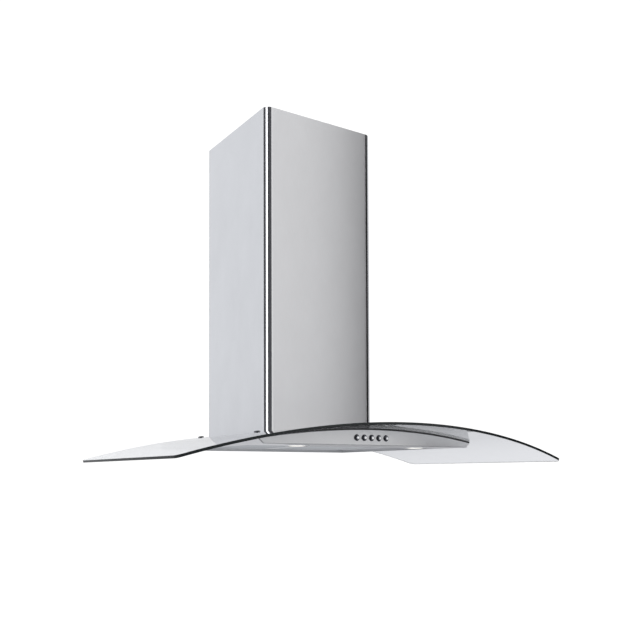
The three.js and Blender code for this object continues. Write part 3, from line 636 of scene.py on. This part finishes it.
def bentCover(name, node, corner, onGlass, values):
    # A sheet folded into a U that is open to the rear; the lower one stands on the glass.
    low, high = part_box(node)
    bm = bmesh.new()
    bmesh.ops.create_cube(bm, size=1)
    bmesh.ops.scale(bm, verts=bm.verts, vec=high - low)
    bmesh.ops.translate(bm, verts=bm.verts, vec=(low + high) / 2)
    openSides = [f for f in bm.faces if abs(f.normal.z) > 0.5 or f.normal.y > 0.5]
    bmesh.ops.delete(bm, geom=openSides, context="FACES")
    front = [e for e in bm.edges if all(v.co.y < low.y + mm for v in e.verts)]
    folds = [e for e in front if e.verts[0].co.x == e.verts[1].co.x]
    bmesh.ops.bevel(bm, geom=folds, affect="EDGES", offset=corner, segments=values["cornerSegments"],
                    profile=0.5, material=-1)
    if onGlass:
        half = high.x
        cutAlong(bm, "x", evenly(-half + corner, half - corner, values["arcCuts"]))
        stepY = glassHigh.y + values["stepBack"]
        cutAlong(bm, "y", (stepY, stepY + values["stepWidth"]))
        for vert in bm.verts:
            if vert.co.z < low.z + mm:
                behind = vert.co.y > stepY + values["stepWidth"] / 2
                radius = bodyRadius if behind else glassRadius
                vert.co.z = arcHeight(radius + seatGap, vert.co.x)
    bmesh.ops.recalc_face_normals(bm, faces=bm.faces)
    for face in bm.faces:
        bent = min(abs(face.normal.x), abs(face.normal.y)) > values["bendStart"]
        face.material_index = int(bent)
    cover = meshObject(name, bm)
    sheet = cover.modifiers.new("sheet", "SOLIDIFY")
    sheet.thickness = values["sheet"]
    sheet.offset = -1
    sheet.use_even_offset = True
    finish(cover, [chimneySteel, bendSteel], [node], values["rounding"])


lowerCorner = chimneyValues["corner"]
# The upper cover slides inside the lower one, so its bend is tighter by the step between them.
upperCorner = lowerCorner - (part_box("chimney_front")[1].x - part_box("upper_cover_front")[1].x)
bentCover("lowerChimneyCover", "chimney_front", lowerCorner, True, chimneyValues)
bentCover("upperChimneyCover", "upper_cover_front", upperCorner, False, chimneyValues)
refined("chimney_rear", "lowerRearCover", chimneySteel, chimneyValues["rearRounding"])
refined("upper_cover_rear", "upperRearCover", chimneySteel, chimneyValues["rearRounding"])


print("Glass canopy")
glassValues = {
    "bow": 34 * mm,  # how far the middle of the front edge leads its corners
    "corner": 14 * mm,
    "cornerSegments": 10,
    "notchHalf": 114.5 * mm,
    "strips": 96,
    "hole": 3 * mm,
    "drill": 20 * mm,
    "edgeRounding": 0.8 * mm,
}
screwNodes = ["glass_screw_" + corner for corner in corners]


def onArc(vert):
    # Bends a flat pane: heights below zero become depth below the top face.
    angle = asin(vert.co.x / glassRadius)
    radius = glassRadius + vert.co.z
    vert.co.x = radius * sin(angle)
    vert.co.z = arcCentreZ + radius * cos(angle)


def screwPlace(node):
    # The lean of a screw, which is square to the arc, and its place from front to back.
    low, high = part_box(node)
    middle = (low + high) / 2
    return atan(middle.x / (middle.z - arcCentreZ)), middle.y


def makeGlass(values):
    middleY = (glassLow.y + glassHigh.y) / 2
    cornerY = glassLow.y + values["bow"]
    bm = bmesh.new()
    bmesh.ops.create_grid(bm, x_segments=1, y_segments=1, size=0.5)
    bmesh.ops.scale(bm, verts=bm.verts, vec=(2 * glassHalf, glassHigh.y - cornerY, 1))
    bmesh.ops.translate(bm, verts=bm.verts, vec=(0, (glassHigh.y + cornerY) / 2, 0))
    bmesh.ops.bevel(bm, geom=bm.verts[:], affect="VERTICES", offset=values["corner"],
                    segments=values["cornerSegments"], profile=0.5, material=-1)
    straight = glassHalf - values["corner"]
    cutAlong(bm, "x", [-straight, straight, *evenly(-straight, straight, values["strips"])])
    notch = values["notchHalf"]
    cutAlong(bm, "x", (-notch, notch))
    cutAlong(bm, "y", (-notch, cornerY + values["corner"], middleY))
    inNotch = []
    for face in bm.faces:
        middle = face.calc_center_median()
        if abs(middle.x) < notch and middle.y > -notch:
            inNotch.append(face)
    bmesh.ops.delete(bm, geom=inNotch, context="FACES")
    for vert in bm.verts:
        if vert.co.y < cornerY + 0.01 * mm and abs(vert.co.x) <= straight:
            vert.co.y -= values["bow"] - bowOffset(vert.co.x, straight, values["bow"])
    extruded = bmesh.ops.extrude_face_region(bm, geom=bm.faces[:], use_keep_orig=True)["geom"]
    under = [v for v in extruded if isinstance(v, bmesh.types.BMVert)]
    bmesh.ops.translate(bm, verts=under, vec=(0, 0, -glassThick))
    bmesh.ops.recalc_face_normals(bm, faces=bm.faces)
    glass = meshObject("bentGlassCanopy", bm)
    for node in screwNodes:
        angle, y = screwPlace(node)
        place = Matrix.Translation((glassRadius * sin(angle), y, 0))
        drillHole(glass, values["hole"], values["drill"], values["drill"], place, steps=32)
    bm = bmesh.new()
    bm.from_mesh(glass.data)
    for vert in bm.verts:
        onArc(vert)
    bm.normal_update()
    # Faces that stand across the pane are its ground edge.
    for face in bm.faces:
        x, z = face.calc_center_median().xz
        outwards = Vector((x, 0, z - arcCentreZ)).normalized()
        face.material_index = int(abs(face.normal.dot(outwards)) < 0.5)
    bm.to_mesh(glass.data)
    bm.free()
    edge = values["edgeRounding"]
    finish(glass, [clearGlass, darkEdge], ["glass_canopy"], edge, segments=3, limit=50)


makeGlass(glassValues)

screwValues = {
    "head": 6.5 * mm,
    "rim": 1.0 * mm,
    "dome": 3.0 * mm,
    "shank": 2.5 * mm,
    "length": 13 * mm,
    "socket": 2.0 * mm,
    "socketDepth": 2.0 * mm,
}


def makeScrew(node, values):
    # Domed socket screw, stood square to the glass.
    angle, y = screwPlace(node)
    head, dome, rim, shank = values["head"], values["dome"], values["rim"], values["shank"]
    profile = [(0, -values["length"]), (shank, -values["length"]), (shank, seatGap), (head, seatGap)]
    for turn in range(90, -1, -15):
        profile.append((head * sin(radians(turn)), seatGap + rim + (dome - rim) * cos(radians(turn))))
    screw = meshObject(node.replace("glass_screw", "domedScrew"), spun(profile, steps=40))
    socket = bmesh.new()
    bmesh.ops.create_cone(socket, cap_ends=True, segments=6, radius1=values["socket"],
                          radius2=values["socket"], depth=2 * values["socketDepth"])
    bmesh.ops.translate(socket, verts=socket.verts, vec=(0, 0, seatGap + dome))
    cutAway(screw, socket)
    lean = Matrix.Translation((0, y, arcCentreZ)) @ Matrix.Rotation(angle, 4, "Y")
    screw.data.transform(lean @ Matrix.Translation((0, 0, glassRadius)))
    finish(screw, darkPlateAndShadowLine, [node], bevel=0.15 * mm)


for node in screwNodes:
    makeScrew(node, screwValues)


print("Canopy body, fascia and gasket")
fasciaValues = {
    "bow": 12 * mm,
    "sheet": 1.2 * mm,
    "taper": 10 * mm,  # each end leans in by this much at the bottom
    "columns": 96,
    "rows": 6,
    "hole": 5.9 * mm,
    "drill": (8 * mm, 12 * mm),  # how far a hole is cut to the rear and to the front
    "shadowLineEdge": 0.58 * mm,  # edge rounding painted dark with the plate: a painted shadow line round the strip, for the shaded gap
}


def makeFascia(values):
    # A bowed strip of sheet whose top edge follows the canopy's arc.
    topHalf = fasciaHigh.x
    lowHalf = topHalf - values["taper"]
    bottomZ = fasciaLow.z
    bm = bmesh.new()
    bmesh.ops.create_grid(bm, x_segments=values["columns"], y_segments=values["rows"], size=0.5)
    for vert in bm.verts:
        # The columns fan in evenly from the top edge to the narrower bottom edge.
        across, up = 2 * vert.co.x, vert.co.y + 0.5
        x = across * (lowHalf + (topHalf - lowHalf) * up)
        z = bottomZ + (arcHeight(bodyRadius, x) - bottomZ) * up
        vert.co = (x, fasciaLow.y + bowOffset(x, topHalf, values["bow"]), z)
    bmesh.ops.recalc_face_normals(bm, faces=bm.faces)
    if sum(f.normal.y for f in bm.faces) > 0:
        bmesh.ops.reverse_faces(bm, faces=bm.faces)
    bmesh.ops.solidify(bm, geom=bm.faces[:], thickness=values["sheet"])
    fascia = meshObject("bowedFascia", bm)
    for button in buttonNodes:
        low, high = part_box(button)
        centre = (low + high) / 2
        place = forwards((centre.x, fasciaLow.y + values["sheet"], centre.z))
        drillHole(fascia, values["hole"], *values["drill"], place, steps=48)
    finish(fascia, [canopySteel, darkPlateAndShadowLine], ["front_fascia"], values["shadowLineEdge"], limit=50)
    # The rounded edges take the dark plate: a painted shadow line round the strip.
    fascia.modifiers["edges"].material = 1
    fascia.modifiers["edges"].use_clamp_overlap = False


makeFascia(fasciaValues)
refined("canopy_body", "canopyBodyShell", canopySteel, bevel=0.3 * mm)
refined("glass_gasket", "glassGasket", rubber, bevel=0.4 * mm)


print("Switch block and buttons")
switchValues = {
    "bezel": 5.6 * mm,
    "bore": 4.5 * mm,
    "lip": 6.1 * mm,  # flange that covers the edge of the hole
    "lipThick": 0.8 * mm,
    "tuck": 0.2 * mm,  # how far the bezel reaches in behind its lip
    "buttonDish": 0.4 * mm,
    "buttonFace": 0.7,  # bright part of the face, as a share of the radius
    # The button's shoulder: share of the radius, and how far it is below the top.
    "shoulder": [(1, 0.9 * mm), (0.94, 0.3 * mm), (0.84, 0)],
}


def makeButton(node, values):
    # Dark plated push button with a bright, shallow dished face.
    low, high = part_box(node)
    radius = (high.x - low.x) / 2
    length = high.y - low.y
    dish = values["buttonDish"]
    face = radius * values["buttonFace"]
    profile = [(0, 0), (radius, 0)]
    profile += [(radius * share, length - drop) for share, drop in values["shoulder"]]
    profile += [(face, length - dish / 4), (face * 0.5, length - dish * 0.8), (0, length - dish)]
    bm = spun(profile, steps=48)
    bm.normal_update()
    for part in bm.faces:
        part.material_index = int(part.calc_center_median().xy.length < face and part.normal.z > 0.5)
    bm.transform(forwards(((low.x + high.x) / 2, high.y, (low.z + high.z) / 2)))
    piece = meshObject(node.replace("button_", "pushButton"), bm)
    finish(piece, [darkPlateAndShadowLine, polished], [node], bevel=0.12 * mm, limit=40)


def makeSwitchBlock(values):
    # Moulded housing with a round bezel in front for each button.
    lip, thick, bezel, bore = values["lip"], values["lipThick"], values["bezel"], values["bore"]
    profile = [(bore, -values["tuck"]), (bezel, -values["tuck"]), (lip, 0), (lip, thick * 0.5),
               (lip - 0.5 * mm, thick), (bore + 0.4 * mm, thick), (bore, thick - 0.3 * mm)]
    bm = merged("switch_block")
    for button in buttonNodes:
        low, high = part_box(button)
        centre = (low + high) / 2
        setBack = bowOffset(centre.x, fasciaHigh.x, fasciaValues["bow"])
        ring = spun(profile, steps=64, closed=True)
        ring.transform(forwards((centre.x, fasciaLow.y + setBack, centre.z)))
        addShape(bm, ring, 1)
    bmesh.ops.recalc_face_normals(bm, faces=bm.faces)
    block = meshObject("switchBlock", bm)
    finish(block, [blackPlastic, darkPlateAndShadowLine], ["switch_block"], bevel=0.15 * mm)


for node in buttonNodes:
    makeButton(node, switchValues)
makeSwitchBlock(switchValues)


print("Lamps")
lampValues = {
    "strength": 0.36,
    "glow": 19 * mm,  # how far from the bulb the lens is bright
    "lipWidth": 3 * mm,
    "lipThick": 1.2 * mm,
    "lipRoll": (0.8 * mm, 0.6 * mm),  # of the outer edge, inwards and upwards
    "mouthRoll": (0.6 * mm, 0.5 * mm),
    "seat": (3.3 * mm, 4.2 * mm),  # ledge behind the lens: how far it reaches in, and its height
    "wall": 2 * mm,
    "dome": 1.0 * mm,
}


def standing(name, profile, centre, z):
    # A turned piece, stood at a height over a centre; a profile that starts off the axis is closed.
    bm = spun(profile, steps=72, closed=profile[0][0] > 0)
    bmesh.ops.translate(bm, verts=bm.verts, vec=(centre.x, centre.y, z))
    return meshObject(name, bm)


def makeLampRing(side, values):
    # Pressed ring with a rolled lip, closed at the top.
    node = "lamp_housing_" + side
    low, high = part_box(node)
    lensLow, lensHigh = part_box("lamp_lens_" + side)
    radius, height = (high.x - low.x) / 2, high.z - low.z
    opening = (lensHigh.x - lensLow.x) / 2 + seatGap
    neck, lip, roof = radius - values["lipWidth"], values["lipThick"], height - values["wall"]
    (rollIn, rollUp), (mouthOut, mouthUp) = values["lipRoll"], values["mouthRoll"]
    seatIn, seatUp = values["seat"]
    profile = [(opening, mouthUp), (opening + mouthOut, 0), (radius - rollIn, 0), (radius, rollUp),
               (radius, lip), (neck, lip), (neck, height), (0, height), (0, roof),
               (opening - seatIn, roof), (opening - seatIn, seatUp), (opening, seatUp)]
    ring = standing("lampRing" + side.capitalize(), profile, (low + high) / 2, low.z)
    finish(ring, polished, [node], bevel=0.2 * mm)


def makeLampLens(side, values):
    # A frosted lens with a shallow dome below, lit from behind.
    node = "lamp_lens_" + side
    low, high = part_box(node)
    centre = (low + high) / 2
    radius, height = (high.x - low.x) / 2, high.z - low.z
    profile = []
    for turn in range(0, 91, 15):
        profile.append((radius * sin(radians(turn)), values["dome"] * (1 - cos(radians(turn)))))
    profile += [(radius, height), (0, height)]
    lens = standing("lampLens" + side.capitalize(), profile, centre, low.z)
    middle = (centre.x, centre.y, low.z)
    glow = lampLens("frostedLens" + side.capitalize(), middle, values["glow"], values["strength"])
    finish(lens, glow, [node], bevel=0.15 * mm)


for side in ("left", "right"):
    makeLampRing(side, lampValues)
    makeLampLens(side, lampValues)


print("Filter tray and grease filters")
filterValues = {
    "diamond": (6.5 * mm, 11 * mm),
    "strand": 1.0 * mm,
    "layers": 2,
    "layerGap": 2.2 * mm,
}


def makeFilterMesh(side, values):
    # Layers of expanded metal: a poked grid whose cell lines are taken out leaves diamonds.
    node = "filter_mesh_" + side
    low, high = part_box(node)
    width, depth = high.x - low.x, high.y - low.y
    cellX, cellY = values["diamond"]
    strand = values["strand"]
    mesh = bmesh.new()
    for layer in range(values["layers"]):
        bm = bmesh.new()
        columns = round(width / cellX) + layer % 2
        rows = round(depth / cellY)
        bmesh.ops.create_grid(bm, x_segments=columns, y_segments=rows, size=0.5)
        cellLines = [e for e in bm.edges if not e.is_boundary]
        bmesh.ops.poke(bm, faces=bm.faces[:])
        bmesh.ops.dissolve_edges(bm, edges=cellLines)
        bmesh.ops.scale(bm, verts=bm.verts, vec=(width - 2 * strand, depth - 2 * strand, 1))
        level = low.z + strand + layer * values["layerGap"]
        bmesh.ops.translate(bm, verts=bm.verts, vec=((low.x + high.x) / 2, (low.y + high.y) / 2, level))
        bmesh.ops.wireframe(bm, faces=bm.faces[:], thickness=strand, use_replace=True, use_boundary=True,
                            use_even_offset=True)
        addShape(mesh, bm)
    expanded = meshObject("expandedMesh" + side.capitalize(), mesh)
    finish(expanded, meshAluminium, [node], bevel=0)


refined("filter_tray", "filterTray", canopySteel, bevel=0.3 * mm)
for side in ("left", "right"):
    makeFilterMesh(side, filterValues)
    end = side.capitalize()
    refined("filter_frame_" + side, "filterFrame" + end, frameAluminium, 0.6 * mm, segments=3)
    refined("filter_latch_" + side, "filterLatch" + end, blackPlastic, 0.5 * mm, segments=3)


print("Ceiling frame, blower and wiring")
# Each node's material, slot and edge rounding in millimetres.
plainPieces = {
    "ceiling_plate": (zinc, "zinc", 0.4),
    "motor_bracket": (zinc, "zinc", 0.3),
    "damper_pin": (zinc, "zinc", 0.2),
    "blower_base": (greyPlastic, "grey_plastic", 0.4),
    "blower_cover": (greyPlastic, "grey_plastic", 0.4),
    "outlet_collar": (blackPlastic, "black_plastic", 0.3),
    "junction_box": (blackPlastic, "black_plastic", 1.5),
    "cable_gland": (blackPlastic, "black_plastic", 0.3),
    "lamp_driver": (blackPlastic, "black_plastic", 1.2),
    "impeller": (blackPlastic, "black_plastic", 0.2),
    "capacitor": (enamel, "motor_steel", 0.8),
    "motor": (enamel, "motor_steel", 0.6),
    "motor_shaft": (polished, "polished", 0.3),
    "damper_flap_left": (frameAluminium, "aluminium", 0.2),
    "damper_flap_right": (frameAluminium, "aluminium", 0.2),
    "switch_lead": (wireSheath, "wire", 0),
    "motor_lead": (wireSheath, "wire", 0),
}
for corner in corners:
    plainPieces["upper_angle_" + corner] = (zinc, "zinc", 0.3)
    plainPieces["lower_angle_" + corner] = (zinc, "zinc", 0.3)
    plainPieces["height_bolt_" + corner] = (zinc, "zinc", 0.3)
for node, (material, slotName, bevel) in plainPieces.items():
    words = node.split("_")
    name = words[0] + "".join(word.capitalize() for word in words[1:]) + "Finished"
    refined(node, name, material, bevel * mm)
